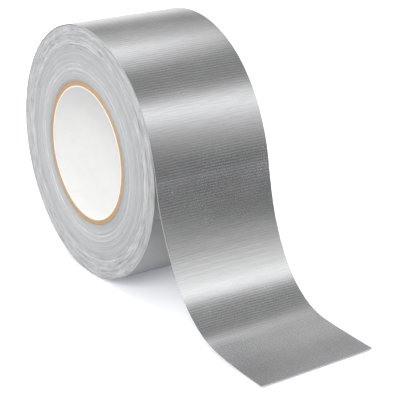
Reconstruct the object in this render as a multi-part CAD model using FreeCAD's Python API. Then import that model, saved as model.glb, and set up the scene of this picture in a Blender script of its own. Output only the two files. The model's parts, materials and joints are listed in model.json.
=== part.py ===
"""Wide duct tape roll with its free end hanging down to the floor.

Origin: centre of the core's bore. +Y runs along the roll's axis, +Z is up, and the free tail
leaves the roll on the +X side. The roll stands on its rim, so the floor is just below its
lowest point. Every length is in millimetres and every angle in degrees.
"""
import FreeCAD, Part
import math
import os

# Driving dimensions
TAPE_WIDTH = 72.0
ROLL_DIAMETER = 146.5
BORE_DIAMETER = 76.2

# Paperboard core: (name, wall) from the bore outwards
CORE_PLIES = [
    ("core_liner_ply", 0.5),
    ("core_board_ply_1", 0.8),
    ("core_board_ply_2", 0.8),
    ("core_board_ply_3", 0.8),
    ("core_wrap_ply", 0.3),
]

# The strip's three layers, from its silver outside to its sticky inside
FILM = 0.08
SCRIM = 0.06
ADHESIVE = 0.09
TAPE = FILM + SCRIM + ADHESIVE

# Buried turns, as bands: share of the winding's depth, and how far each side sits in
WOUND_BANDS = [
    (0.30, 0.0),
    (0.22, 0.12),
    (0.30, 0.0),
    (0.18, 0.18),
]

TURN_GAP = 0.03
SLIT = 0.3

# Free tail, from the peel line to the cut end: (length, bend), where a minus bend goes the
# roll's own way round and a plus bend goes the other way. A last stretch flattens it out.
TAIL_BENDS = [
    (47.0, -28.0),
    (40.0, 7.3),
    (57.5, 61.5),
]
TAIL_FOOT_LENGTH = 40.5
TAIL_HINGES = [62.0, 123.0]
FOOT_CLEARANCE = 0.02

ROLL_RADIUS = ROLL_DIAMETER / 2
BORE_RADIUS = BORE_DIAMETER / 2
TURN_PITCH = TAPE + TURN_GAP
WOUND_RADIUS = ROLL_RADIUS - TURN_PITCH - TAPE - TURN_GAP
TURN_LENGTH = math.pi * (2 * ROLL_RADIUS - TURN_PITCH / 2)


def left_of(heading):
    """Unit vector to the left of a direction in the XZ plane."""
    angle = math.radians(heading)
    return FreeCAD.Vector(-math.sin(angle), 0, math.cos(angle))


def strip_stages(peel_angle):
    """The strip as tangent arcs: its outermost turn as two half circles, then its tail.

    Each stage is (distance along the strip, start point, heading, length, bend). The points
    lie on the strip's silver outside, and the strip runs the way it comes off the roll.
    """
    inner_half = math.pi * (ROLL_RADIUS - TURN_PITCH / 2)
    outer_half = math.pi * ROLL_RADIUS
    bends = [(inner_half, -180.0), (outer_half, -180.0)] + TAIL_BENDS
    heading = peel_angle - 90
    bends.append((TAIL_FOOT_LENGTH, -heading - sum(bend for _, bend in TAIL_BENDS)))
    place = left_of(heading) * (ROLL_RADIUS - TURN_PITCH)
    stages = []
    along = 0.0
    for length, bend in bends:
        stages.append((along, place, heading, length, bend))
        radius = length / math.radians(bend)
        place = place + left_of(heading) * radius - left_of(heading + bend) * radius
        heading = (heading + bend + 180) % 360 - 180
        along += length
    stages.append((along, place, heading, 0.0, 0.0))
    return stages


def stage_point(stage, along, depth):
    """Point on one stage, at a distance along the strip and a depth below its silver outside."""
    start, place, heading, length, bend = stage
    radius = length / math.radians(bend)
    turned = heading + bend * (along - start) / length
    centre = place + left_of(heading) * radius
    return centre - left_of(turned) * (radius + depth)


def strip_point(stages, along, depth):
    """Point anywhere on the strip, at a distance along it and a depth below its outside."""
    stage = [s for s in stages[:-1] if s[0] <= along][-1]
    return stage_point(stage, along, depth)


def roll_bottom(peel_angle):
    """Height of the lowest point of the outermost turn."""
    return -ROLL_RADIUS + TURN_PITCH / 2 * (1 - math.sin(math.radians(peel_angle)))


def peel_angle_for_floor():
    """Angle round the roll at which the tail must leave to lie with its end on the floor."""
    low, high = 30.0, 50.0
    while high - low > 1e-6:
        middle = (low + high) / 2
        if strip_stages(middle)[-1][1].z < roll_bottom(middle) + TAPE + FOOT_CLEARANCE:
            low = middle
        else:
            high = middle
    return round(high, 4)


def layer(stages, first, last, top, bottom):
    """Solid of one layer of the strip between two distances along it."""
    breaks = [first] + [s[0] for s in stages if first < s[0] < last] + [last]

    def arcs(depth):
        edges = []
        for a, b in zip(breaks, breaks[1:]):
            stage = [s for s in stages[:-1] if s[0] < (a + b) / 2][-1]
            places = [stage_point(stage, along, depth) for along in (a, (a + b) / 2, b)]
            edges.append(Part.Arc(*places).toShape())
        return edges

    def across(one, other, end):
        return Part.makeLine(one.Vertexes[end].Point, other.Vertexes[end].Point)

    outside = arcs(top)
    inside = arcs(bottom)
    first_end = across(outside[0], inside[0], 0)
    last_end = across(outside[-1], inside[-1], -1)
    edges = outside + [last_end] + inside[::-1] + [first_end]
    outline = Part.Face(Part.Wire(edges))
    outline.translate(FreeCAD.Vector(0, -TAPE_WIDTH / 2, 0))
    return outline.extrude(FreeCAD.Vector(0, TAPE_WIDTH, 0))


def ring(inner, outer, width):
    """Flat-sided ring about the roll's axis, centred on the origin."""
    base = FreeCAD.Vector(0, -width / 2, 0)
    axis = FreeCAD.Vector(0, 1, 0)
    return Part.makeCylinder(outer, width, base, axis).cut(Part.makeCylinder(inner, width, base, axis))


def core_nodes():
    """Concentric plies of the paperboard core."""
    nodes = {}
    inner = BORE_RADIUS
    for name, wall in CORE_PLIES:
        nodes[name] = ring(inner, inner + wall, TAPE_WIDTH)
        inner += wall
    return nodes, inner


def wound_nodes(core_radius):
    """Buried turns in bands, whose sides are not all wound to quite the same line."""
    nodes = {}
    inner = core_radius
    depth = WOUND_RADIUS - core_radius
    for number, (share, inset) in enumerate(WOUND_BANDS, 1):
        outer = inner + share * depth
        nodes[f"wound_turns_{number}"] = ring(inner, outer, TAPE_WIDTH - 2 * inset)
        inner = outer
    return nodes


def strip_nodes(stages):
    """The three layers of the outermost turn and of each stretch of the tail."""
    tail_length = stages[-1][0] - TURN_LENGTH
    cuts = [0.0] + [TURN_LENGTH + s for s in [0.0] + TAIL_HINGES + [tail_length]]
    stretches = ["outer_turn", "tail_upper", "tail_middle", "tail_lower"]
    layers = [
        ("film", 0.0, FILM),
        ("scrim", FILM, FILM + SCRIM),
        ("adhesive", FILM + SCRIM, TAPE),
    ]
    nodes = {}
    for number, stretch in enumerate(stretches):
        first = cuts[number] + (SLIT / 2 if number else 0)
        last = cuts[number + 1] - (SLIT / 2 if number + 1 < len(stretches) else 0)
        for name, top, bottom in layers:
            nodes[f"{stretch}_{name}"] = layer(stages, first, last, top, bottom)
    return nodes


def report_places(stages):
    """Print the places that the joints and the resting height depend on."""
    peel = strip_point(stages, TURN_LENGTH, 0)
    print(f"peel line x {peel.x:.3f} z {peel.z:.3f}")
    for hinge in TAIL_HINGES:
        place = strip_point(stages, TURN_LENGTH + hinge, TAPE / 2)
        print(f"tail hinge at {hinge:g}: x {place.x:.3f} z {place.z:.3f}")
    end = stage_point(stages[-2], stages[-1][0], TAPE)
    print(f"cut end, underside x {end.x:.3f} z {end.z:.3f}")
    print(f"tail length {stages[-1][0] - TURN_LENGTH:.1f}")


def main():
    peel_angle = peel_angle_for_floor()
    stages = strip_stages(peel_angle)
    nodes, core_radius = core_nodes()
    nodes.update(wound_nodes(core_radius))
    nodes.update(strip_nodes(stages))
    os.makedirs("parts", exist_ok=True)
    for name, shape in nodes.items():
        shape.exportStep(f"parts/{name}.step")
    print(f"peel angle {peel_angle}, core outer radius {core_radius:.2f}, wound radius {WOUND_RADIUS:.2f}")
    for name, shape in nodes.items():
        box = shape.BoundBox
        print(f"{name}: valid {shape.isValid()} volume {shape.Volume:.1f} z {box.ZMin:.3f} to {box.ZMax:.3f}")
    report_places(stages)


main()
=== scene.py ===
"""Looks of a wide duct tape roll whose free end hangs to the floor, built round its CAD frame.

Metres, in the frame of the CAD part: the origin is the centre of the bore, +Y runs along the
roll's axis and +Z is up. "Along" is a distance along the strip of tape, 0 at the peel line,
minus on the outermost turn and plus on the free tail. "Across" runs from -1 to 1 over its width.
"""

import json
import math

import bpy
import numpy as np
from mathutils import Matrix, Vector


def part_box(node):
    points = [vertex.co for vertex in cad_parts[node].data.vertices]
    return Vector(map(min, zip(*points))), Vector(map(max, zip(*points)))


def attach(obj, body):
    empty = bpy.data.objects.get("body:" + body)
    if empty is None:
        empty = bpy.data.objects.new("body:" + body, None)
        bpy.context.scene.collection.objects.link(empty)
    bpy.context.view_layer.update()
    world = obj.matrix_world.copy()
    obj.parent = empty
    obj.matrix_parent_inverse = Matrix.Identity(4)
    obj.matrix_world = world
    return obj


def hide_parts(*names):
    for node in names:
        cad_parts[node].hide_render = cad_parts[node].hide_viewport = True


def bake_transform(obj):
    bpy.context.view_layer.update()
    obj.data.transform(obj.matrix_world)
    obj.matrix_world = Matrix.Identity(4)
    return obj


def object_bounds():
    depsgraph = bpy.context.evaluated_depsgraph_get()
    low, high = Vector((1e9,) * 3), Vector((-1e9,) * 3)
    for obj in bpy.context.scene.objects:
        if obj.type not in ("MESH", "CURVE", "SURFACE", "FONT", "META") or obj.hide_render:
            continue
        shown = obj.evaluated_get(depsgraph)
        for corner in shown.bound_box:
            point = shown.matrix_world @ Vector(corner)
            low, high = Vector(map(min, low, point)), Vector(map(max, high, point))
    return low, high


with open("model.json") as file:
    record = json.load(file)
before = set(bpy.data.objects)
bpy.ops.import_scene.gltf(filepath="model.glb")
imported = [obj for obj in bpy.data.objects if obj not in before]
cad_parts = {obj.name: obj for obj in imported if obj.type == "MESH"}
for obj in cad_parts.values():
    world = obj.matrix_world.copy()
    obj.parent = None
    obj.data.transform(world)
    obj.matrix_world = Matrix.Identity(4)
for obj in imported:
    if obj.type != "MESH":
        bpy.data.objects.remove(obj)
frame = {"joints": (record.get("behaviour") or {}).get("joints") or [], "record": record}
CAD_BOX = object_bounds()
MM = 0.001

JOINTS = {joint["name"]: joint for joint in frame["joints"]}
MOUNTS = {mount["name"]: mount for mount in frame["record"]["mounts"]}


# ---------------------------------------------------------------- sizes

FILM_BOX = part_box("outer_turn_film")
WIDTH = FILM_BOX[1].y - FILM_BOX[0].y
ROLL_RADIUS = FILM_BOX[1].z
BORE_RADIUS = MOUNTS["core_bore"]["dims"]["r_mm"] * MM
FLOOR = CAD_BOX[0][2]

FILM = 0.08 * MM
SCRIM = 0.06 * MM
ADHESIVE = 0.09 * MM
TAPE = FILM + SCRIM + ADHESIVE
TURN_PITCH = 0.26 * MM

# Free tail as tangent arcs: (length in mm, bend in degrees, minus the roll's own way round)
TAIL_BENDS = [(47.0, -28.0), (40.0, 7.3), (57.5, 61.5)]
TAIL_FOOT_LENGTH = 40.5

# How far each side of the tail stands off its plain curve: (distance, offset) in mm
NEAR_SIDE = [
    (-30, 0), (-14, 0.35), (0, 0.5), (12, 0.4), (22, -0.25), (34, -1.2), (54, -2.0), (66, -1.5), (80, 0.1),
    (95, 2.3), (120, 1.9), (137, 0.4), (150, 0.3), (162, 0.8), (174, 1.05), (190, 1.2),
]
FAR_SIDE = [
    (-30, 0), (0, 0), (20, -0.2), (40, -0.6), (62, -1.2), (76, -1.8), (95, -0.2), (120, -1.4), (137, -1.9),
    (150, -0.7), (162, 0.4), (174, 0.95), (190, 1.15),
]
EASING = 12 * MM
LIFT_START = -30 * MM
LIFT_RAMP = 20 * MM
CUT_SKEW = 1.6 * MM
EDGE_WANDER = 0.06 * MM
EDGE_ROLL = 0.05 * MM

RIB_PITCH = 1.53 * MM
RIB_HEIGHT = 0.012 * MM
RIB_WANDER = 0.07 * RIB_PITCH
RIB_ROUNDNESS = 1.3
RIB_SAMPLES = 5
SLACK = 0.003 * MM
FILM_WARP_PITCH = 1.5 * MM

WARP_YARNS = 76
WARP_PITCH = 0.95 * MM
OUTERMOST_YARN = 0.985
YARN_SHARE = 0.45

# Paleness of the film: its mean, the mean of the ribs' shape, which is taken off their share of
# it, how much the painted highlight and painted shade along the tail add to it, and the most that it can be
PALE_MEAN = 0.3
RIB_MEAN = 0.43
PAINTED_LIGHT_STRENGTH = 0.35
PALE_MOST = 1.5

# How plainly the ribs show along the tape, which is pulled smooth in places: (distance in mm, share)
RIB_SHARES = [
    (-40, 1.0), (-20, 1.2), (-4, 0.95), (5, 0.35), (30, 0.55), (40, 1.3), (58, 1.25), (68, 0.5),
    (90, 0.55), (97, 0.1), (112, 0.12), (117, 1.4), (132, 1.1), (142, 0.6), (155, 0.85), (190, 0.95),
]

# Painted highlight (paler) and painted shade (darker) in the film's colour along the tail: (distance in mm,
# share)
PAINTED_LIGHT_SHARES = [
    (68, 0.0), (78, 0.2), (85, 1.0), (92, 1.7), (99, 3.2), (106, 2.3), (110, 1.1), (114, 0.0), (128, 0.0),
    (134, -1.2), (138, 0.0), (144, 1.4), (150, 1.5), (157, 1.1), (165, 0.4), (175, 0.0),
]
ACROSS_STEPS = 36


# ---------------------------------------------------------------- the strip's path

def left_of(heading):
    """Unit vector (x, z) to the left of a heading."""
    return np.array([-math.sin(heading), math.cos(heading)])


def strip_stages():
    """Tangent arcs of the strip's outside: two half turns round the roll, then the tail."""
    peel = JOINTS["tail_peel"]["pos_m"]
    heading = math.atan2(peel[2], peel[0]) - math.pi / 2
    inner_half = math.pi * (ROLL_RADIUS - TURN_PITCH / 2)
    outer_half = math.pi * ROLL_RADIUS
    bends = [(inner_half, -math.pi), (outer_half, -math.pi)]
    bends += [(length * MM, math.radians(bend)) for length, bend in TAIL_BENDS]
    bends.append((TAIL_FOOT_LENGTH * MM, -heading - sum(bend for _, bend in bends[2:])))
    place = left_of(heading) * (ROLL_RADIUS - TURN_PITCH)
    along = -inner_half - outer_half
    stages = []
    for length, bend in bends:
        stages.append((along, place, heading, length, bend))
        radius = length / bend
        place = place + left_of(heading) * radius - left_of(heading + bend) * radius
        heading += bend
        along += length
    return stages


STAGES = strip_stages()
STRIP_START = STAGES[0][0]
TAIL_LENGTH = STAGES[-1][0] + STAGES[-1][3]


def strip_path(along):
    """Places (x, z) and outward normals (x, z) of the strip's outside at distances along it."""
    along = np.asarray(along, float)
    place = np.zeros(along.shape + (2,))
    normal = np.zeros(along.shape + (2,))
    for start, origin, heading, length, bend in STAGES:
        here = along >= start if start > STRIP_START else np.full(along.shape, True)
        radius = length / bend
        turned = heading + bend * (along[here] - start) / length
        left = np.stack([-np.sin(turned), np.cos(turned)], -1)
        place[here] = origin + left_of(heading) * radius - left * radius
        normal[here] = left
    return place, normal


def eased(knots, along):
    """A curve near (distance, offset) knots in mm, its corners rounded, from nothing at LIFT_START."""
    shifts = np.linspace(-1, 1, 9)
    weights = np.cos(shifts * math.pi / 2 * 0.96) ** 2
    xs, ys = np.array(knots).T * MM
    total = sum(w * np.interp(along + shift * EASING, xs, ys) for w, shift in zip(weights, shifts))
    start = np.clip((along - LIFT_START) / LIFT_RAMP, 0, 1)
    return total / weights.sum() * start * start * (3 - 2 * start)


def waves(where, lengths, seed):
    """Sum of sines of the given wavelengths with seeded phases, between about -1 and 1."""
    phases = np.random.default_rng(seed).uniform(0, 2 * math.pi, len(lengths))
    total = sum(np.sin(2 * math.pi * where / length + p) for length, p in zip(lengths, phases))
    return total / len(lengths)


def strip_points(along, across, depth):
    """Points of the strip at a depth below its outside, on a grid of along by across."""
    along, across = np.meshgrid(along, across, indexing="ij")
    stretched = along + CUT_SKEW * np.clip(along / TAIL_LENGTH, 0, 1) ** 3 * (-across) * 0.5
    place, normal = strip_path(stretched)
    lift = eased(NEAR_SIDE, along) * (1 - across) / 2 + eased(FAR_SIDE, along) * (1 + across) / 2
    place = place + normal * lift[..., None]
    sunk = np.maximum(0, FLOOR + TAPE - place[..., 1]) * (along > 0)
    place = place - normal * np.broadcast_to(depth, along.shape)[..., None]
    wander = EDGE_WANDER * waves(along, [0.031, 0.013, 0.007], 5) * np.minimum(across ** 8, 1)
    return np.stack([place[..., 0], across * WIDTH / 2 + wander, place[..., 1] + sunk], -1)


def path_distance(point):
    """Distance along the tail of the place nearest to a point."""
    along = np.linspace(0, TAIL_LENGTH, 4000)
    place, _ = strip_path(along)
    gap = np.hypot(place[:, 0] - point[0], place[:, 1] - point[2])
    return float(along[gap.argmin()])


def point_on_strip(along):
    """Point in the middle of the strip's width and thickness, at a distance along it."""
    place, normal = strip_path(np.array([along]))
    x, z = place[0] - normal[0] * TAPE / 2
    return (x, 0.0, z)


def rib_valley(along):
    """The nearest whole number of ribs."""
    return round(along / RIB_PITCH) * RIB_PITCH


def share_at(knots, along):
    """A share at distances along the strip, from (distance in mm, share) knots."""
    xs, ys = np.array(knots, float).T
    return np.interp(along / MM, xs, ys)


def rib_relief(along, across):
    """Ribs across the tape from the weft yarns: depth of the surface below its crests, and paleness, which
    also holds painted highlight and painted shade along the tail.
    """
    along, across = np.meshgrid(along, across, indexing="ij")
    y = across * WIDTH / 2
    wander = RIB_WANDER * (waves(along + 0.4 * y, [0.047, 0.019], 1) + waves(y, [0.06, 0.023], 2))
    phase = 2 * math.pi * (along + wander) / RIB_PITCH
    strength = 0.75 + 0.25 * waves(along * 0.6 + y, [0.026, 0.011, 0.0071], 3)
    strength = strength * (0.85 + 0.15 * waves(along, [0.0053, 0.0089], 4)) * share_at(RIB_SHARES, along)
    ribs = (0.5 - 0.5 * np.cos(phase)) ** RIB_ROUNDNESS
    slack = SLACK * (1 + waves(along + 0.3 * y, [0.021, 0.034], 6) * waves(y, [0.05, 0.031], 7))
    # Paleness: the ribs' paler crests, plus painted highlight and painted shade along the tail
    paleness = PALE_MEAN + strength * (ribs - RIB_MEAN) + PAINTED_LIGHT_STRENGTH * share_at(PAINTED_LIGHT_SHARES, along)
    return RIB_HEIGHT * strength * (1 - ribs) + slack, np.clip(paleness, 0, PALE_MOST)


# ---------------------------------------------------------------- mesh helpers

SHARP_ANGLE = math.radians(40)


def mesh_object(name, points, faces, uv=None, rib_paleness_and_painted_light=None):
    """A mesh object in the scene, shaded smooth but for its sharp edges."""
    mesh = bpy.data.meshes.new(name)
    mesh.from_pydata(points, [], faces)
    if rib_paleness_and_painted_light is not None:
        values = mesh.attributes.new("rib_paleness_and_painted_light", "FLOAT", "POINT")
        values.data.foreach_set("value", np.asarray(rib_paleness_and_painted_light, np.float32))
    if uv is not None:
        layer = mesh.uv_layers.new(name="strip")
        index = np.zeros(len(mesh.loops), np.int32)
        mesh.loops.foreach_get("vertex_index", index)
        layer.data.foreach_set("uv", np.asarray(uv, np.float32)[index].ravel())
    mesh.polygons.foreach_set("use_smooth", np.ones(len(mesh.polygons), bool))
    mesh.set_sharp_from_angle(angle=SHARP_ANGLE)
    mesh.update()
    thing = bpy.data.objects.new(name, mesh)
    bpy.context.scene.collection.objects.link(thing)
    return thing


def grid_faces(rows, columns, first=0, flip=False):
    """Quads over a grid of rows by columns whose points are numbered row by row."""
    i, j = np.meshgrid(np.arange(rows - 1), np.arange(columns - 1), indexing="ij")
    corner = i * columns + j + first
    quads = [corner, corner + 1, corner + columns + 1, corner + columns]
    return np.stack(quads[::-1] if flip else quads, -1).reshape(-1, 4).tolist()


def ribbon(name, along, upper_across, upper_depth, lower_across, lower_depth, rib_paleness_and_painted_light=None):
    """A closed ribbon of tape between an upper and a lower surface, each given by its depth grid."""
    upper = strip_points(along, upper_across, upper_depth)
    lower = strip_points(along, lower_across, lower_depth)
    rows, wide, narrow = len(along), len(upper_across), len(lower_across)
    first_lower = rows * wide
    faces = grid_faces(rows, wide) + grid_faces(rows, narrow, first_lower, flip=True)
    for i in range(rows - 1):
        a, b = i * wide, (i + 1) * wide
        c, d = first_lower + i * narrow, first_lower + (i + 1) * narrow
        faces.append([a, b, d, c])
        faces.append([a + wide - 1, c + narrow - 1, d + narrow - 1, b + wide - 1])
    faces.append(list(range(wide - 1, -1, -1)) + list(range(first_lower, first_lower + narrow)))
    top, bottom = (rows - 1) * wide, first_lower + (rows - 1) * narrow
    faces.append(list(range(top, top + wide)) + list(range(bottom + narrow - 1, bottom - 1, -1)))
    uv = [np.stack(np.meshgrid(along, across * WIDTH / 2, indexing="ij"), -1).reshape(-1, 2)
          for across in (upper_across, lower_across)]
    points = np.concatenate([upper.reshape(-1, 3), lower.reshape(-1, 3)])
    if rib_paleness_and_painted_light is not None:
        rib_paleness_and_painted_light = np.concatenate([rib_paleness_and_painted_light.ravel(), np.ones(rows * narrow)])
    return mesh_object(name, points.tolist(), faces, np.concatenate(uv), rib_paleness_and_painted_light)


def lathe(name, profile, angles, wobble):
    """A closed ring about the Y axis: profile is a closed loop of (radius, y), which wobble moves."""
    profile = np.asarray(profile, float)
    radius = np.repeat(profile[None, :, 0], len(angles), 0)
    y = np.repeat(profile[None, :, 1], len(angles), 0)
    radius, y = wobble(radius, y, angles[:, None])
    points = np.stack([radius * np.cos(angles)[:, None], y, radius * np.sin(angles)[:, None]], -1)
    columns = len(profile)
    i, j = np.meshgrid(np.arange(len(angles)), np.arange(columns), indexing="ij")
    k, m = (i + 1) % len(angles), (j + 1) % columns
    quads = np.stack([i * columns + j, k * columns + j, k * columns + m, i * columns + m], -1)
    return mesh_object(name, points.reshape(-1, 3).tolist(), quads.reshape(-1, 4).tolist())


# ---------------------------------------------------------------- materials

class Nodes:
    """Short calls for building a material's node tree."""

    def __init__(self, name):
        self.material = bpy.data.materials.new(name)
        self.material.use_nodes = True
        self.tree = self.material.node_tree
        self.shader = self.tree.nodes["Principled BSDF"]

    def add(self, kind, **values):
        node = self.tree.nodes.new(kind)
        for key, value in values.items():
            setattr(node, key, value)
        return node

    def link(self, source, target):
        self.tree.links.new(source, target)

    def feed(self, target, value):
        """Link a socket, or set a plain value."""
        if isinstance(value, bpy.types.NodeSocket):
            self.link(value, target)
        else:
            target.default_value = value

    def math(self, operation, a, b=0.0, c=0.0):
        node = self.add("ShaderNodeMath", operation=operation)
        for socket, value in zip(node.inputs, (a, b, c)):
            self.feed(socket, value)
        return node.outputs[0]

    def times(self, value, factor):
        return self.math("MULTIPLY", value, factor)

    def weighted(self, *parts):
        """Sum of (value, weight) parts."""
        terms = [self.times(value, weight) for value, weight in parts]
        total = terms[0]
        for term in terms[1:]:
            total = self.math("ADD", total, term)
        return total

    def combine(self, x=0.0, y=0.0, z=0.0):
        node = self.add("ShaderNodeCombineXYZ")
        for socket, value in zip(node.inputs, (x, y, z)):
            self.feed(socket, value)
        return node.outputs[0]

    def noise(self, vector, scale, detail=2.0, roughness=0.5):
        node = self.add("ShaderNodeTexNoise")
        self.link(vector, node.inputs["Vector"])
        node.inputs["Scale"].default_value = scale
        node.inputs["Detail"].default_value = detail
        node.inputs["Roughness"].default_value = roughness
        return node.outputs["Fac"]

    def remap(self, value, low, high, new_low, new_high):
        """Take low to new_low and high to new_high, and go no further than either."""
        node = self.add("ShaderNodeMapRange")
        self.link(value, node.inputs[0])
        for socket, number in zip(node.inputs[1:5], (low, high, new_low, new_high)):
            socket.default_value = number
        return node.outputs[0]

    def colours(self, factor, stops):
        """Colour ramp with (position, (r, g, b)) stops."""
        ramp = self.add("ShaderNodeValToRGB")
        elements = ramp.color_ramp.elements
        while len(elements) < len(stops):
            elements.new(0.5)
        for element, (position, colour) in zip(elements, stops):
            element.position = position
            element.color = (*colour, 1)
        self.link(factor, ramp.inputs[0])
        return ramp.outputs[0]

    def bump(self, height, distance, onto=None):
        node = self.add("ShaderNodeBump")
        node.inputs["Distance"].default_value = distance
        self.link(height, node.inputs["Height"])
        if onto is not None:
            self.link(onto, node.inputs["Normal"])
        return node.outputs[0]

    def strip_place(self):
        """Distances along and across the tape, in metres."""
        uv = self.add("ShaderNodeUVMap", uv_map="strip")
        split = self.add("ShaderNodeSeparateXYZ")
        self.link(uv.outputs[0], split.inputs[0])
        return split.outputs[0], split.outputs[1]

    def object_place(self):
        """The place in the object's frame, and its x, y and z."""
        place = self.add("ShaderNodeTexCoord").outputs["Object"]
        split = self.add("ShaderNodeSeparateXYZ")
        self.link(place, split.inputs[0])
        return place, *split.outputs

    def length(self, a, b):
        """Length of the vector that has two components."""
        return self.math("SQRT", self.math("ADD", self.times(a, a), self.times(b, b)))

    def ring_place(self):
        """Radius from the roll's axis, the direction round it, and the place itself."""
        place, x, _, z = self.object_place()
        radius = self.length(x, z)
        return radius, self.math("DIVIDE", x, radius), self.math("DIVIDE", z, radius), place

    def set(self, **inputs):
        """Feed the shader's own sockets, and give the finished material."""
        for name, value in inputs.items():
            self.feed(self.shader.inputs[name.replace("_", " ")], value)
        return self.material


def film_material():
    """Silver polyethylene film: paler and duller on its ribs, with painted highlight and painted shade
    along the tail, warp lines and a brushed grain.
    """
    n = Nodes("silver_film")
    along, across = n.strip_place()
    rib_paleness_and_painted_light = n.add("ShaderNodeAttribute", attribute_name="rib_paleness_and_painted_light").outputs["Fac"]
    place = n.combine(along, across)
    warp_phase = n.times(across, 2 * math.pi / FILM_WARP_PITCH)
    warp = n.math("SINE", n.math("ADD", warp_phase, n.noise(place, 60)))
    grain = n.noise(n.combine(n.times(along, 1.6), across), 800, 3)
    threads = n.noise(n.combine(n.times(along, 2.0), n.times(across, 0.16)), 520, 3, 0.6)
    cloudy = n.noise(place, 45, 3)
    # The paleness attribute brings painted highlight and painted shade along the tail into the colour and
    # the metallic
    mixed = n.weighted((threads, 0.38), (cloudy, 0.07), (rib_paleness_and_painted_light, 0.42), (grain, 0.10))
    colour = n.colours(mixed, [
        (0.17, (0.475, 0.477, 0.483)),
        (0.71, (0.675, 0.677, 0.684)),
        (1.0, (0.78, 0.782, 0.79)),
    ])
    metallic = n.remap(rib_paleness_and_painted_light, 0.0, 0.7, 1.0, 0.83)
    roughness = n.remap(n.math("ADD", cloudy, grain), 0.6, 1.4, 0.20, 0.28)
    normal = n.bump(warp, 0.0015 * MM)
    normal = n.bump(grain, 0.002 * MM, onto=normal)
    return n.set(Base_Color=colour, Metallic=metallic, Roughness=roughness, Normal=normal)


def scrim_material():
    """Undyed cotton and polyester yarn."""
    n = Nodes("scrim_yarn")
    along, across = n.strip_place()
    fuzz = n.noise(n.combine(along, across), 4000, 3)
    colour = n.colours(fuzz, [(0.3, (0.74, 0.74, 0.71)), (0.7, (0.86, 0.86, 0.83))])
    return n.set(Base_Color=colour, Roughness=0.85, Normal=n.bump(fuzz, 0.02 * MM), Sheen_Weight=0.3)


def adhesive_material():
    """Grey rubber adhesive pressed through the weave, tacky and a little glossy."""
    n = Nodes("adhesive")
    along, across = n.strip_place()
    weft = n.math("SINE", n.times(along, 2 * math.pi / RIB_PITCH))
    warp = n.math("SINE", n.times(across, 2 * math.pi / WARP_PITCH))
    weave = n.math("MAXIMUM", weft, warp)
    blotch = n.noise(n.combine(along, across), 120, 4, 0.6)
    fine = n.noise(n.combine(along, across), 1500, 3)
    mixed = n.weighted((blotch, 0.7), (weave, 0.08))
    colour = n.colours(mixed, [(0.2, (0.5, 0.505, 0.5)), (0.65, (0.65, 0.65, 0.64))])
    normal = n.bump(weave, 0.03 * MM)
    normal = n.bump(fine, 0.02 * MM, onto=normal)
    roughness = n.remap(blotch, 0.3, 0.7, 0.28, 0.5)
    return n.set(Base_Color=colour, Roughness=roughness, Normal=normal, Specular_IOR_Level=0.55)


# Colour of the wound tape's side where its share of white is 1, and how bright all of it is
SIDE_WHITE = (0.815, 0.825, 0.83)
SIDE_BRIGHTNESS = 0.81

# Paleness of that side by distance from the axis: (radius in mm, share of white)
SIDE_ZONES = [
    (41.3, 0.46), (43.0, 0.52), (45.5, 0.525), (47.6, 0.58), (51.0, 0.585), (52.3, 0.525), (56.5, 0.53),
    (59.5, 0.50), (61.6, 0.53), (64.5, 0.545), (66.3, 0.56), (68.0, 0.53), (70.0, 0.56), (72.7, 0.53),
]

# Turns whose edge stands out as a thin line: (radius in mm, half width in mm, change of paleness)
SIDE_LINES = [
    (43.6, 0.30, -0.04), (45.9, 0.40, 0.06), (46.8, 0.30, -0.06), (48.1, 0.45, 0.11), (49.5, 0.40, -0.04),
    (51.0, 0.50, 0.09), (54.2, 0.35, 0.03), (57.0, 0.45, 0.06), (60.2, 0.50, -0.04), (61.9, 0.35, -0.05),
    (62.8, 0.45, 0.14), (63.9, 0.35, 0.09), (65.2, 0.30, -0.05), (67.6, 0.35, -0.05), (70.4, 0.40, 0.07),
]
LINE_STRENGTH = 3.9
FIBRE_STRENGTH = 1.8


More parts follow.
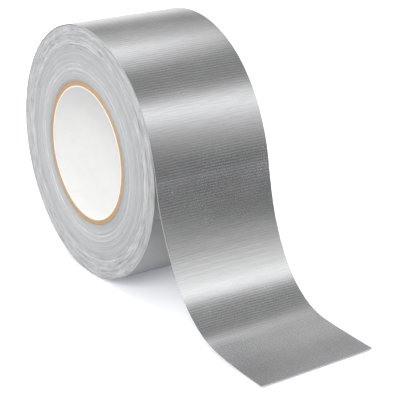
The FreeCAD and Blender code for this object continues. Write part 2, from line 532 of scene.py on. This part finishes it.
def wound_side_material():
    """Cut edges of many turns: broad zones, thin lines, and broken fibres further out."""
    n = Nodes("wound_side")
    radius, dx, dz, place = n.ring_place()

    def ringed(stretch, scale, detail=2.0, roughness=0.5):
        where = n.combine(n.times(dx, stretch), n.times(dz, stretch), radius)
        return n.noise(where, scale, detail, roughness)

    def centred(value, strength):
        return n.times(n.math("SUBTRACT", value, 0.5), strength)

    wander = centred(ringed(0.012, 160, 1), 1.6 * MM)
    wandering = n.math("ADD", radius, wander)
    first, last = SIDE_ZONES[0][0] * MM, SIDE_ZONES[-1][0] * MM
    white = [SIDE_BRIGHTNESS * part for part in SIDE_WHITE]
    stops = [((zone * MM - first) / (last - first), [share * part for part in white])
             for zone, share in SIDE_ZONES]
    zones = n.colours(n.remap(wandering, first, last, 0.0, 1.0), stops)
    fading = n.remap(ringed(0.02, 330, 2, 0.6), 0.35, 0.6, 0.15, 1.0)
    shade = n.math("ADD", 1.0, centred(ringed(0.0016, 1300, 3, 0.65), 0.42))
    for middle, half, change in SIDE_LINES:
        gap = n.math("ABSOLUTE", n.math("SUBTRACT", wandering, middle * MM))
        line = n.remap(gap, 0.0, half * MM, change * LINE_STRENGTH, 0.0)
        shade = n.math("MULTIPLY_ADD", line, fading, shade)
    fibres = ringed(0.0085, 900, 4, 0.7)
    outer_zone = n.remap(radius, 58 * MM, 64 * MM, 0.2, 1.0)
    fibres_there = n.times(centred(fibres, 1.0), outer_zone)
    shade = n.math("ADD", shade, centred(ringed(0.0030, 4300, 2, 0.6), 0.3))
    shade = n.math("ADD", shade, n.times(fibres_there, FIBRE_STRENGTH))
    tint = n.add("ShaderNodeVectorMath", operation="SCALE")
    n.link(zones, tint.inputs[0])
    n.link(shade, tint.inputs["Scale"])
    normal = n.bump(shade, 0.20 * MM)
    normal = n.bump(n.math("ADD", fibres_there, n.noise(place, 2200, 2, 0.6)), 0.10 * MM, onto=normal)
    roughness = n.remap(fibres, 0.3, 0.7, 0.5, 0.7)
    return n.set(Base_Color=tint.outputs[0], Roughness=roughness, Normal=normal)


def board_material(name, dark, light):
    """Paperboard with flecks of fibre, most of them lying round the tube."""
    n = Nodes(name)
    radius, dx, dz, place = n.ring_place()
    round_about = n.combine(n.times(dx, 0.04), n.times(dz, 0.04), n.times(radius, 3.0))
    fibres = n.noise(round_about, 700, 4, 0.7)
    flecks = n.noise(place, 1600, 3, 0.6)
    colour = n.colours(n.weighted((fibres, 0.6), (flecks, 0.4)), [(0.32, dark), (0.68, light)])
    normal = n.bump(flecks, 0.06 * MM)
    normal = n.bump(fibres, 0.05 * MM, onto=normal)
    return n.set(Base_Color=colour, Roughness=0.88, Normal=normal)


def liner_material():
    """White paper lining of the bore, faintly mottled."""
    n = Nodes("liner_paper")
    place = n.object_place()[0]
    mottle = n.noise(place, 160, 4, 0.6)
    fibres = n.noise(place, 2400, 3, 0.6)
    mixed = n.weighted((mottle, 0.5), (fibres, 0.5))
    colour = n.colours(mixed, [(0.3, (0.74, 0.738, 0.732)), (0.7, (0.80, 0.798, 0.792))])
    return n.set(Base_Color=colour, Roughness=0.72, Normal=n.bump(fibres, 0.03 * MM))


MATERIALS = {
    "film": film_material(),
    "scrim": scrim_material(),
    "adhesive": adhesive_material(),
    "side": wound_side_material(),
    "board": board_material("core_board", (0.31, 0.19, 0.091), (0.485, 0.33, 0.172)),
    "wrap": board_material("core_kraft", (0.26, 0.163, 0.084), (0.395, 0.265, 0.147)),
    "liner": liner_material(),
}


def finish_piece(piece, material, slot, *nodes):
    """Give a new piece its material, and hide the CAD nodes that it stands for. The slot is not used."""
    piece.data.materials.append(MATERIALS[material])
    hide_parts(*nodes)


# ---------------------------------------------------------------- pieces

FINE_ACROSS = np.linspace(-1, 1, ACROSS_STEPS + 1)
EDGES_ONLY = np.array([-1.0, 1.0])

# Edges of the adhesive, which stands out of the cut a little on the roll and more on the tail
PROUD_EDGES = EDGES_ONLY * (1 + 0.05 * MM / (WIDTH / 2))
OOZED_EDGES = EDGES_ONLY * (1 + 0.16 * MM / (WIDTH / 2))


def stations(first, last):
    """Distances along the strip, a few to each rib."""
    count = max(2, round((last - first) / RIB_PITCH * RIB_SAMPLES))
    return np.linspace(first, last, count + 1)


def film_piece(name, first, last):
    """The silver film, ribbed by the yarns under it and rolled over a little at its edges."""
    along = stations(first, last)
    ribs, paleness = rib_relief(along, FINE_ACROSS)
    depth = ribs + EDGE_ROLL * np.abs(FINE_ACROSS) ** 60
    return ribbon(name, along, FINE_ACROSS, depth, EDGES_ONLY, FILM, paleness)


def adhesive_piece(name, first, last, underside_shows):
    """The sticky layer, with the weave pressed into it where its underside can be seen."""
    along = stations(first, last)
    edges = OOZED_EDGES if underside_shows else PROUD_EDGES
    across = FINE_ACROSS * edges[1] if underside_shows else edges
    depth = TAPE - 0.4 * rib_relief(along, across)[0]
    return ribbon(name, along, edges, FILM + SCRIM * 0.6, across, depth)


def yarn(points, thickness):
    """Points and faces of one four-sided yarn along a line of points."""
    points = np.asarray(points)
    tangent = np.gradient(points, axis=0)
    tangent /= np.linalg.norm(tangent, axis=1)[:, None]
    side = np.where(np.abs(tangent[:, 1:2]) > 0.5, [[1.0, 0, 0]], [[0, 1.0, 0]])
    up = np.cross(tangent, side)
    up /= np.linalg.norm(up, axis=1)[:, None]
    side = np.cross(up, tangent)
    corners = [(-1, -0.5), (1, -0.5), (1, 0.5), (-1, 0.5)]
    rings = [points + thickness * (a * side + b * up) for a, b in corners]
    rows = len(points)
    grid = np.stack(rings, 1).reshape(-1, 3)
    faces = [[i * 4 + j, i * 4 + (j + 1) % 4, (i + 1) * 4 + (j + 1) % 4, (i + 1) * 4 + j]
             for i in range(rows - 1) for j in range(4)]
    faces += [[3, 2, 1, 0], [rows * 4 - 4, rows * 4 - 3, rows * 4 - 2, rows * 4 - 1]]
    return grid, faces


def scrim_piece(name, first, last, cut_end):
    """The woven cloth: warp yarns along the tape and weft yarns across it, ends a little frayed."""
    rng = np.random.default_rng(int(1000 + last / MM))
    points, faces, count = [], [], 0
    middle = FILM + SCRIM / 2

    def lay(line):
        nonlocal count
        grid, quads = yarn(line, SCRIM * YARN_SHARE)
        points.append(grid)
        faces.extend([[count + i for i in quad] for quad in quads])
        count += len(grid)

    for across in np.linspace(-OUTERMOST_YARN, OUTERMOST_YARN, WARP_YARNS):
        fray = rng.uniform(0.05, 0.55) * MM if cut_end else 0.0
        along = np.linspace(first, last + fray, max(3, int((last - first) / (3 * MM))))
        lay(strip_points(along, np.array([across]), middle)[:, 0])
    for along in np.arange(first + RIB_PITCH / 2, last, RIB_PITCH):
        ends = 1 + rng.uniform(0.02, 0.12, 2) * MM / (WIDTH / 2)
        across = np.linspace(-ends[0], ends[1], 9)
        lay(strip_points(np.array([along]), across, middle)[0])
    return mesh_object(name, np.concatenate(points).tolist(), faces)


STRETCHES = ["outer_turn", "tail_upper", "tail_middle", "tail_lower"]
LAYER_SLOTS = {"film": "tape_film", "scrim": "tape_scrim", "adhesive": "tape_adhesive"}

# Distances before and after each hinge along the tail, at which points on the strip are found
BEND_REACH = [(0.0, 16 * MM), (-14 * MM, 14 * MM), (-14 * MM, 14 * MM)]


def outer_turn_pieces():
    """Film, scrim and adhesive of the outermost turn. Gives the film."""
    turn = [film_piece("outer_turn_film_skin", STRIP_START, 0.0),
            scrim_piece("outer_turn_scrim_yarns", STRIP_START, 0.0, False),
            adhesive_piece("outer_turn_adhesive_coat", STRIP_START, 0.0, False)]
    for piece, (layer, slot) in zip(turn, LAYER_SLOTS.items()):
        finish_piece(piece, layer, slot, f"outer_turn_{layer}")
        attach(piece, "outer_turn")
    return turn[0]


def tail_pieces(hangs_from):
    """Film, scrim and adhesive of the tail, cut midway between its hinges."""
    hinges = [0.0] + [path_distance(JOINTS[name]["pos_m"])
                      for name in ("tail_bend_upper", "tail_bend_lower")]
    cuts = [0.0] + [rib_valley((a + b) / 2) for a, b in zip(hinges, hinges[1:])] + [TAIL_LENGTH]
    for number, (first, last) in enumerate(zip(cuts, cuts[1:])):
        above, body = STRETCHES[number:number + 2]
        start, end = (point_on_strip(hinges[number] + offset) for offset in BEND_REACH[number])
        stretch = [film_piece(f"{body}_film_strip", first, last),
                   scrim_piece(f"{body}_scrim_strip", first, last, last == TAIL_LENGTH),
                   adhesive_piece(f"{body}_adhesive_strip", first, last, True)]
        for piece, (layer, slot) in zip(stretch, LAYER_SLOTS.items()):
            finish_piece(piece, layer, slot, f"{body}_{layer}")
            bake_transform(piece)


BANDS = 4
BAND_ANGLES = 240
MOST_TURNS = 200
MOST_PROUD = 0.1 * MM
BAND_SHOULDER = 0.3 * MM

# Shape of one turn's cut edge: (share of its thickness, how far it sits in)
TURN_EDGE = [(0.02, 0.045 * MM), (0.3, 0.0), (0.8, 0.0)]


def turn_steps(side):
    """How far each turn's cut edge stands out on one side of the roll, from the core outwards."""
    rng = np.random.default_rng(40 + side)
    drift = np.cumsum(rng.normal(0, 0.02, MOST_TURNS))
    drift -= np.convolve(drift, np.ones(31) / 31, "same")
    groups = np.repeat(rng.normal(0, 0.06, 50), rng.integers(2, 9, 50))[:MOST_TURNS]
    return (drift + groups + rng.normal(0, 0.015, MOST_TURNS)) * MM


def wound_band(number, core, start, turn, steps):
    """One band of buried turns, from the radius where it starts. Gives the radius where it ends."""
    name = f"wound_turns_{number}"
    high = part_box(name)[1]
    outer, half = high.z, high.y
    turns = max(1, round((outer - start) / turn))
    first_turn = round((start - core) / turn)
    width = (outer - start) / turns

    def turn_edges(side):
        rows = []
        for k in range(turns):
            level = half + min(steps[side][first_turn + k], MOST_PROUD)
            for share, inset in TURN_EDGE:
                rows.append((start + (k + share) * width, side * (level - inset)))
        return rows

    def waver(radius, y, angle):
        turn_number = (radius - core) / turn
        slow = np.sin(angle + 0.9 * turn_number + number) + 0.6 * np.sin(2 * angle - 0.35 * turn_number)
        fast = np.sin(7 * angle + 1.7 * turn_number) * np.sin(3 * angle + 0.6 * turn_number)
        return radius, y + np.sign(y) * (0.018 * slow + 0.012 * fast) * MM

    shoulder = half - BAND_SHOULDER
    profile = [(start, -shoulder)] + turn_edges(-1) + [(outer, -shoulder), (outer, shoulder)]
    profile += turn_edges(1)[::-1] + [(start, shoulder)]
    angles = np.linspace(0, 2 * math.pi, BAND_ANGLES, endpoint=False)
    piece = lathe(name + "_edges", profile, angles, waver)
    finish_piece(piece, "side", "wound_tape", name)
    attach(piece, "wound_roll")
    return outer


def wound_pieces():
    """Bands of buried turns. Each turn's cut edge stands a little in or out of its neighbours'."""
    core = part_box("core_wrap_ply")[1].z
    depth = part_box(f"wound_turns_{BANDS}")[1].z - core
    turn = depth / round(depth / TAPE)
    steps = {side: turn_steps(side) for side in (-1, 1)}
    start = core
    for number in range(1, BANDS + 1):
        start = wound_band(number, core, start, turn, steps)


# Plies of the core from the bore outwards: (node, material, slot)
CORE_PLIES = [
    ("core_liner_ply", "liner", "core_liner"),
    ("core_board_ply_1", "board", "core_board"),
    ("core_board_ply_2", "board", "core_board"),
    ("core_board_ply_3", "board", "core_board"),
    ("core_wrap_ply", "wrap", "core_board"),
]
CORE_ANGLES = 256
LINER_STEPS = 181
EDGE_ROUNDING = 0.12 * MM

# Spiral seam of the liner: its rise per radian, where it starts in radians, its width and depth
SEAM_RISE = 60 * MM
SEAM_START = 1.1
SEAM_WIDTH = 0.5 * MM
SEAM_DEPTH = 0.1 * MM


def core_ply(number, name, material, slot, inner):
    """One ply of the tube, its cut edges rounded and uneven. Gives its outer radius."""
    lined = name == "core_liner_ply"
    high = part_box(name)[1]
    outer, half = high.z, high.y
    soft = min(EDGE_ROUNDING, (outer - inner) / 3)
    bore = [(inner, y) for y in np.linspace(half - soft, -half + soft, LINER_STEPS if lined else 2)]
    near = [(inner + soft, -half), (outer - soft, -half)]
    far = [(outer - soft, half), (inner + soft, half)]
    profile = bore + near + [(outer, -half + soft), (outer, half - soft)] + far

    def uneven(radius, y, angle):
        edge = np.abs(y) > half - 2 * soft
        bumps = np.sin(11 * angle + 2.1 * number) + np.sin(23 * angle + number) + np.sin(5 * angle - number)
        y = y - np.sign(y) * edge * (0.05 + 0.018 * bumps + 0.05 * (number % 2)) * MM
        if lined:
            seam = (angle - y / SEAM_RISE + SEAM_START) % (2 * math.pi) - math.pi
            groove = np.exp(-(seam * inner / SEAM_WIDTH) ** 2)
            radius = radius + np.where(radius < inner + 0.01 * MM, SEAM_DEPTH * groove, 0)
        return radius, y

    angles = np.linspace(0, 2 * math.pi, CORE_ANGLES, endpoint=False)
    piece = lathe(name + "_tube", profile, angles, uneven)
    finish_piece(piece, material, slot, name)
    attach(piece, "wound_roll")
    return outer


def core_pieces():
    """Plies of the paperboard tube."""
    inner = BORE_RADIUS
    for number, (name, material, slot) in enumerate(CORE_PLIES):
        inner = core_ply(number, name, material, slot, inner)


tail_pieces(hangs_from=outer_turn_pieces())
wound_pieces()
core_pieces()


# ---------------------------------------------------------------- studio

FLOOR_SIZE = 8.0
FLOOR_WHITE = (0.94, 0.94, 0.95)
BOUNCE_SHARE = 0.6
BOUNCE_DEPTH = 0.3 * MM

# The floor's glow: its colour, its strength near the roll and at the horizon, and the distances
# from the roll between which it grows
GLOW_COLOUR = (0.9, 0.91, 1.0, 1.0)
GLOW_NEAR, GLOW_FAR = 0.18, 0.85
GLOW_START, GLOW_END = 0.4, 1.2


def floor_material(name, share):
    """White floor, or a share of it, which glows more far away, where it meets the background."""
    n = Nodes(name)
    place, x, y, _ = n.object_place()
    soft = n.noise(place, 3, 2)
    white = [c * share for c in FLOOR_WHITE]
    colour = n.colours(soft, [(0.3, [0.99 * c for c in white]), (0.7, [1.01 * c for c in white])])
    glow = n.remap(n.length(x, y), GLOW_START, GLOW_END, GLOW_NEAR * share, GLOW_FAR * share)
    n.set(Emission_Color=GLOW_COLOUR, Emission_Strength=glow)
    return n.set(Base_Color=colour, Roughness=1.0, Specular_IOR_Level=0.0)


def hide_from(thing, *kinds):
    """Keep an object out of some kinds of ray."""
    for kind in kinds:
        setattr(thing, "visible_" + kind, False)


def floor_plane(name, height, share):
    """Square of floor at one height."""
    size = FLOOR_SIZE
    corners = [(-size, -size, height), (size, -size, height), (size, size, height), (-size, size, height)]
    mesh = bpy.data.meshes.new(name)
    mesh.from_pydata(corners, [], [[0, 1, 2, 3]])
    floor = bpy.data.objects.new(name, mesh)
    floor.data.materials.append(floor_material(name, share))
    bpy.context.scene.collection.objects.link(floor)
    return floor


def studio_floor():
    """White floor for the eye, and just under it a greyer one that lights the roll from below."""
    hide_from(floor_plane("floor", FLOOR, 1.0), "diffuse", "glossy", "transmission", "shadow")
    hide_from(floor_plane("floor_bounce", FLOOR - BOUNCE_DEPTH, BOUNCE_SHARE), "camera")


# Brightness of the reflector tent by angle over +X, in degrees, for its near and its far side
TENT_NEAR = [
    (-10, 0.06), (8, 0.19), (20, 0.48), (30, 0.86), (40, 1.52), (49, 1.4), (55, 0.4), (62, 0.27),
    (84, 0.305), (96, 1.02), (107, 1.6), (116, 0.8), (130, 0.55), (140, 0.325), (150, 0.53),
    (164, 1.13), (190, 1.2),
]
TENT_FAR = [
    (-10, 0.05), (3, 0.18), (14, 0.42), (24, 0.7), (32, 1.0), (41, 1.5), (49, 1.4), (55, 0.45),
    (62, 0.3), (85, 0.3), (97, 0.58), (107, 0.85), (118, 0.6), (130, 0.43), (139, 0.265),
    (149, 0.49), (164, 1.1), (190, 1.2),
]
TENT_RADIUS = 0.55
TENT_AXIS_X = 0.02
TENT_ENDS = (-1.0, 1.4)
TENT_ROWS, TENT_COLUMNS = 81, 3
TENT_BRIGHTEST = 2.0

# Along the tent, where its near side's brightness ends and where its far side's begins
TENT_NEAR_END = 0.27
TENT_FAR_BEGINS = 0.37


def tent_material(low, high):
    """Glow that changes by angle between low and high degrees, and from the near to the far side."""
    n = Nodes("reflector_tent")
    round_about, y = n.strip_place()
    glows = []
    for stops in (TENT_NEAR, TENT_FAR):
        shares = [((angle - low) / (high - low), (glow / TENT_BRIGHTEST,) * 3) for angle, glow in stops]
        glows.append(n.colours(round_about, shares))
    blend = n.add("ShaderNodeMix", data_type="RGBA")
    n.link(n.remap(y, TENT_NEAR_END, TENT_FAR_BEGINS, 0.0, 1.0), blend.inputs[0])
    n.link(glows[0], blend.inputs[6])
    n.link(glows[1], blend.inputs[7])
    n.set(Base_Color=(0, 0, 0, 1), Roughness=1.0, Specular_IOR_Level=0.0)
    n.material.cycles.emission_sampling = "NONE"
    return n.set(Emission_Color=blend.outputs[2], Emission_Strength=TENT_BRIGHTEST)


def reflector_tent():
    """Half round of pale and dark cloth about the roll, which only the tape's gloss picks up."""
    low, high = TENT_NEAR[0][0], TENT_NEAR[-1][0]
    angles = np.radians(np.linspace(low, high, TENT_ROWS))
    turned, y = np.meshgrid(angles, np.linspace(*TENT_ENDS, TENT_COLUMNS), indexing="ij")
    points = np.stack([TENT_AXIS_X + TENT_RADIUS * np.cos(turned), y, TENT_RADIUS * np.sin(turned)], -1)
    uv = np.stack([(np.degrees(turned) - low) / (high - low), y], -1)
    faces = grid_faces(TENT_ROWS, TENT_COLUMNS)
    tent = mesh_object("reflector_tent", points.reshape(-1, 3).tolist(), faces, uv.reshape(-1, 2))
    tent.data.materials.append(tent_material(low, high))
    hide_from(tent, "camera", "diffuse", "transmission", "shadow")


def softbox(name, place, aim, width, height, radiance):
    """Rectangular light with an even radiance, kept out of the tape's reflections."""
    light = bpy.data.lights.new(name, "AREA")
    light.shape = "RECTANGLE"
    light.size = width
    light.size_y = height
    light.energy = radiance * math.pi * width * height
    lamp = bpy.data.objects.new(name, light)
    lamp.location = place
    lamp.rotation_euler = (Vector(place) - Vector(aim)).to_track_quat("Z", "Y").to_euler()
    lamp.visible_glossy = False
    bpy.context.scene.collection.objects.link(lamp)


# Soft lights: (name, place, the point it faces, width and height in metres, radiance)
SOFTBOXES = [
    ("left_key", (-0.85, 0.12, 1.1), (0.05, 0, 0), 0.8, 0.8, 4.2),
    ("front_key", (0.95, -1.15, 0.85), (0, 0, 0), 1.1, 0.9, 7.6),
    ("overhead", (-0.1, 0.1, 1.7), (0, 0, 0), 2.6, 2.6, 1.05),
    ("front", (-0.9, -1.6, 0.35), (0, 0, 0), 1.8, 1.2, 3.0),
    ("back_fill", (-0.5, 1.5, 0.8), (0, 0, 0), 1.4, 1.0, 1.7),
]
WORLD_LIGHT = 0.3
WORLD_SEEN = 1.0


def lights():
    """The soft lights, and a background that looks white but lights the roll only a little."""
    for box in SOFTBOXES:
        softbox(*box)
    world = bpy.data.worlds.new("studio")
    world.use_nodes = True
    nodes = world.node_tree.nodes
    seen = nodes.new("ShaderNodeLightPath")
    strength = nodes.new("ShaderNodeMapRange")
    world.node_tree.links.new(seen.outputs["Is Camera Ray"], strength.inputs["Value"])
    strength.inputs["To Min"].default_value = WORLD_LIGHT
    strength.inputs["To Max"].default_value = WORLD_SEEN
    world.node_tree.links.new(strength.outputs[0], nodes["Background"].inputs["Strength"])
    nodes["Background"].inputs["Color"].default_value = (1, 1, 1, 1)
    bpy.context.scene.world = world
    bpy.context.scene.view_settings.view_transform = "Standard"


# The camera's place round the origin, its sideways and upward shift, and its lens in mm
AZIMUTH = math.radians(56.211)
ELEVATION = math.radians(20.931)
CAMERA_TURN = math.radians(-0.042)
DISTANCE = 0.80897
RIGHT_SHIFT = 34.517 * MM
UP_SHIFT = -33.470 * MM
LENS = 125.98
SENSOR_WIDTH = 36


def camera():
    """Long lens from the front right and above, so that the near side and the tail both show."""
    back = Vector((
        math.sin(AZIMUTH) * math.cos(ELEVATION),
        -math.cos(AZIMUTH) * math.cos(ELEVATION),
        math.sin(ELEVATION),
    ))
    right = Vector((math.cos(AZIMUTH), math.sin(AZIMUTH), 0))
    up = back.cross(right)
    turned_right = math.cos(CAMERA_TURN) * right + math.sin(CAMERA_TURN) * up
    turned_up = math.cos(CAMERA_TURN) * up - math.sin(CAMERA_TURN) * right
    data = bpy.data.cameras.new("camera")
    data.sensor_width = SENSOR_WIDTH
    data.lens = LENS
    eye = bpy.data.objects.new("camera", data)
    eye.matrix_world = Matrix((turned_right, turned_up, back)).transposed().to_4x4()
    eye.matrix_world.translation = back * DISTANCE + right * RIGHT_SHIFT + up * UP_SHIFT
    bpy.context.scene.collection.objects.link(eye)
    bpy.context.scene.camera = eye


studio_floor()
reflector_tent()
lights()
camera()
